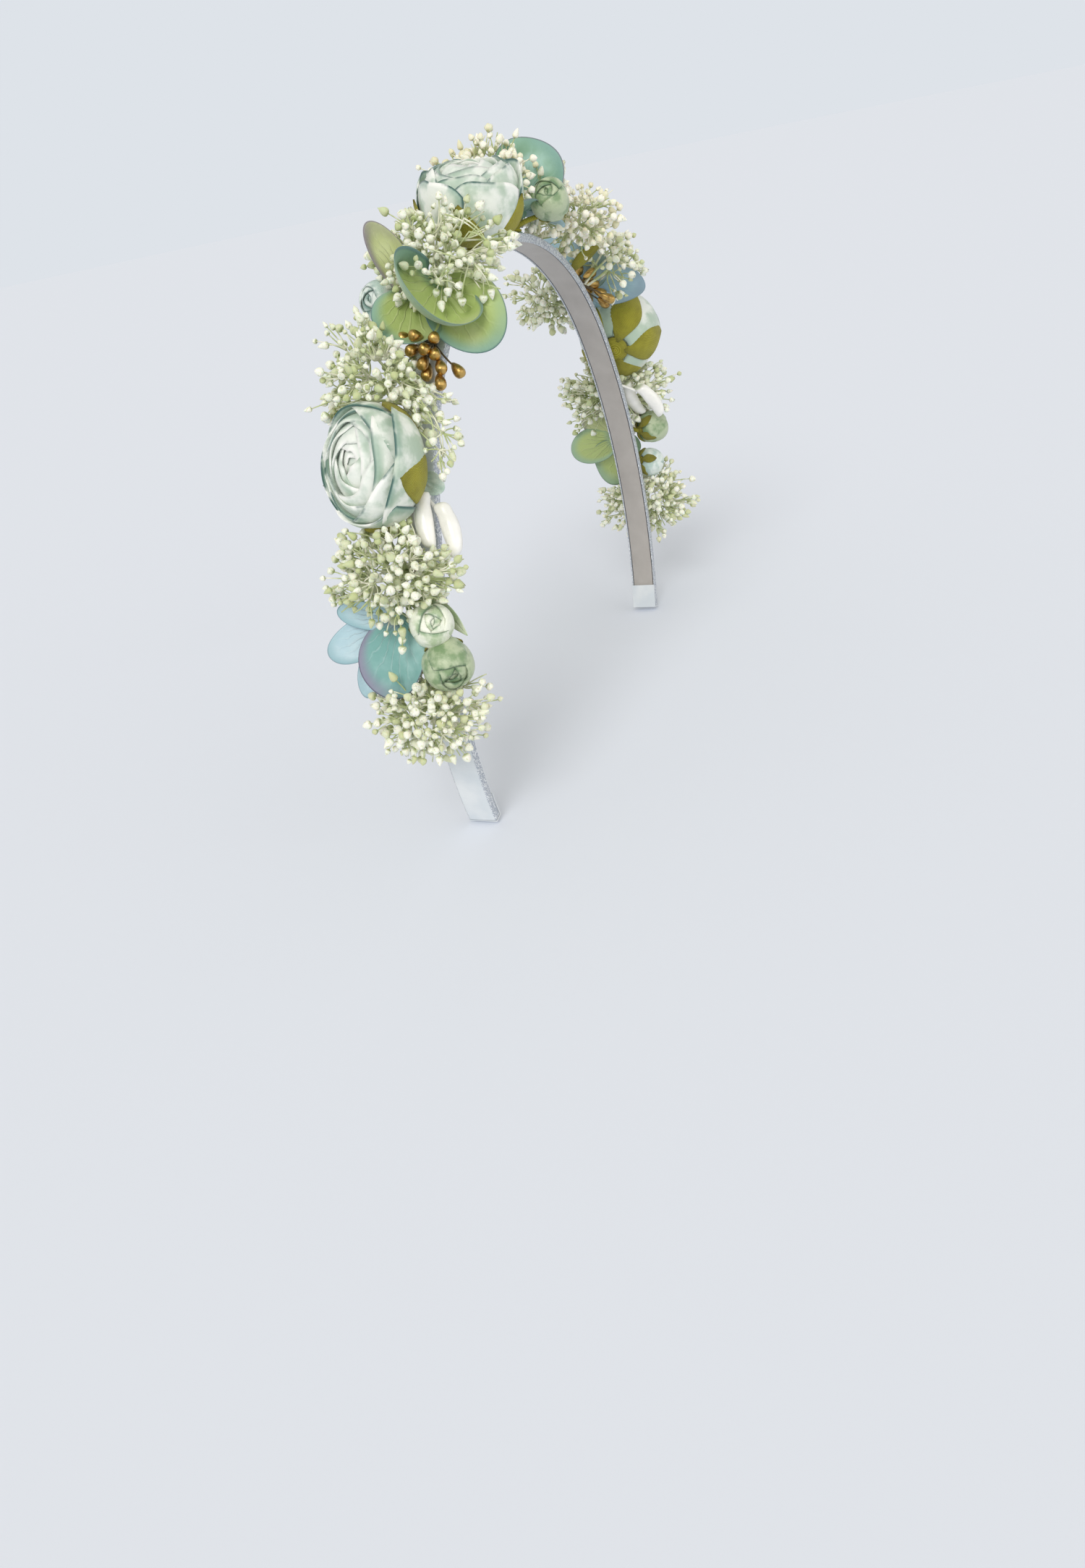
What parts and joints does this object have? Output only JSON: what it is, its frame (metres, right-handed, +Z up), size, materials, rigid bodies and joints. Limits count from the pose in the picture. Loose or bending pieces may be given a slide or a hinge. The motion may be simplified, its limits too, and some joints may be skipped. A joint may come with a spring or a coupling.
{
  "type": "flower crown",
  "caption": "Open-ended satin head band with a garland of fabric flowers, dried gypsophila sprays, gilt stamens and clay buds over the top and both sides.",
  "frame": {"origin": "middle of the band's inner face at the crown, where it rests on the head", "axes": "+Z up out of the head, +X to the wearer's left, -Y to the front"},
  "size_m": [0.189, 0.048, 0.153],
  "materials": {
    "satin_ribbon": "pale blue-grey satin ribbon with a fine selvedge, soft sheen along the band",
    "core_steel": "plain spring strip, hidden inside the ribbon",
    "olive_sepal": "olive woven polyester, matt",
    "ranunculus_petal": "pearly sage-white polyester with dark teal rims, fine weave",
    "rosebud_sage": "sage green polyester with pearly highlights",
    "rosebud_dark_teal": "dark teal polyester, matt",
    "hydrangea_teal": "printed teal polyester petals with veins and a thin mauve rim",
    "hydrangea_green": "printed yellow-green polyester petals with teal and mauve edges",
    "hydrangea_blue": "printed pale blue polyester petals with veins",
    "floret_pip": "small pale bead in the middle of a floret",
    "gypsophila": "dried cream-green gypsophila seed heads on thin pale stems, matt",
    "gilt_stamen": "antique gilt, satin metallic",
    "pearl_clay": "pearl white clay with a soft gloss",
    "leaf_mint": "pale mint green polyester",
    "leaf_blue_green": "blue-green polyester"
  },
  "bodies": {
    "root": {"band_core": "core_steel", "clay_bud_left_back": "pearl_clay", "clay_bud_left_front": "pearl_clay", "clay_bud_right_back": "pearl_clay", "clay_bud_right_front": "pearl_clay", "gypsophila_left_end": "gypsophila", "gypsophila_left_high": "gypsophila", "gypsophila_left_low": "gypsophila", "gypsophila_left_middle": "gypsophila", "gypsophila_left_upper": "gypsophila", "gypsophila_right_end": "gypsophila", "gypsophila_right_high": "gypsophila", "gypsophila_right_low": "gypsophila", "gypsophila_right_middle": "gypsophila", "gypsophila_top_back": "gypsophila", "gypsophila_top_front": "gypsophila", "hydrangea_left_blue": "hydrangea_blue", "hydrangea_left_blue_pip": "floret_pip", "hydrangea_left_green": "hydrangea_green", "hydrangea_left_green_pip": "floret_pip", "hydrangea_right_green": "hydrangea_green", "hydrangea_right_green_pip": "floret_pip", "hydrangea_right_teal": "hydrangea_teal", "hydrangea_right_teal_pip": "floret_pip", "hydrangea_top_teal": "hydrangea_teal", "hydrangea_top_teal_pip": "floret_pip", "inner_ribbon": "satin_ribbon", "leaf_blue": "leaf_blue_green", "leaf_olive": "olive_sepal", "leaf_pale": "leaf_mint", "left_end_fold": "satin_ribbon", "outer_ribbon": "satin_ribbon", "ranunculus_left_calyx": "olive_sepal", "ranunculus_left_heart": "ranunculus_petal", "ranunculus_left_inner_petals": "ranunculus_petal", "ranunculus_left_outer_petals": "ranunculus_petal", "ranunculus_right_calyx": "olive_sepal", "ranunculus_right_heart": "ranunculus_petal", "ranunculus_right_inner_petals": "ranunculus_petal", "ranunculus_right_outer_petals": "ranunculus_petal", "ranunculus_top_calyx": "olive_sepal", "ranunculus_top_heart": "ranunculus_petal", "ranunculus_top_inner_petals": "ranunculus_petal", "ranunculus_top_outer_petals": "ranunculus_petal", "right_end_fold": "satin_ribbon", "rosebud_left_high_calyx": "olive_sepal", "rosebud_left_high_petals": "rosebud_sage", "rosebud_left_low_calyx": "olive_sepal", "rosebud_left_low_petals": "rosebud_dark_teal", "rosebud_right_back_calyx": "olive_sepal", "rosebud_right_back_petals": "rosebud_dark_teal", "rosebud_right_high_calyx": "olive_sepal", "rosebud_right_high_petals": "rosebud_sage", "rosebud_right_low_calyx": "olive_sepal", "rosebud_right_low_petals": "rosebud_sage", "rosebud_top_calyx": "olive_sepal", "rosebud_top_petals": "rosebud_sage", "stamens_left": "gilt_stamen", "stamens_right": "gilt_stamen"}
  },
  "joints": []
}
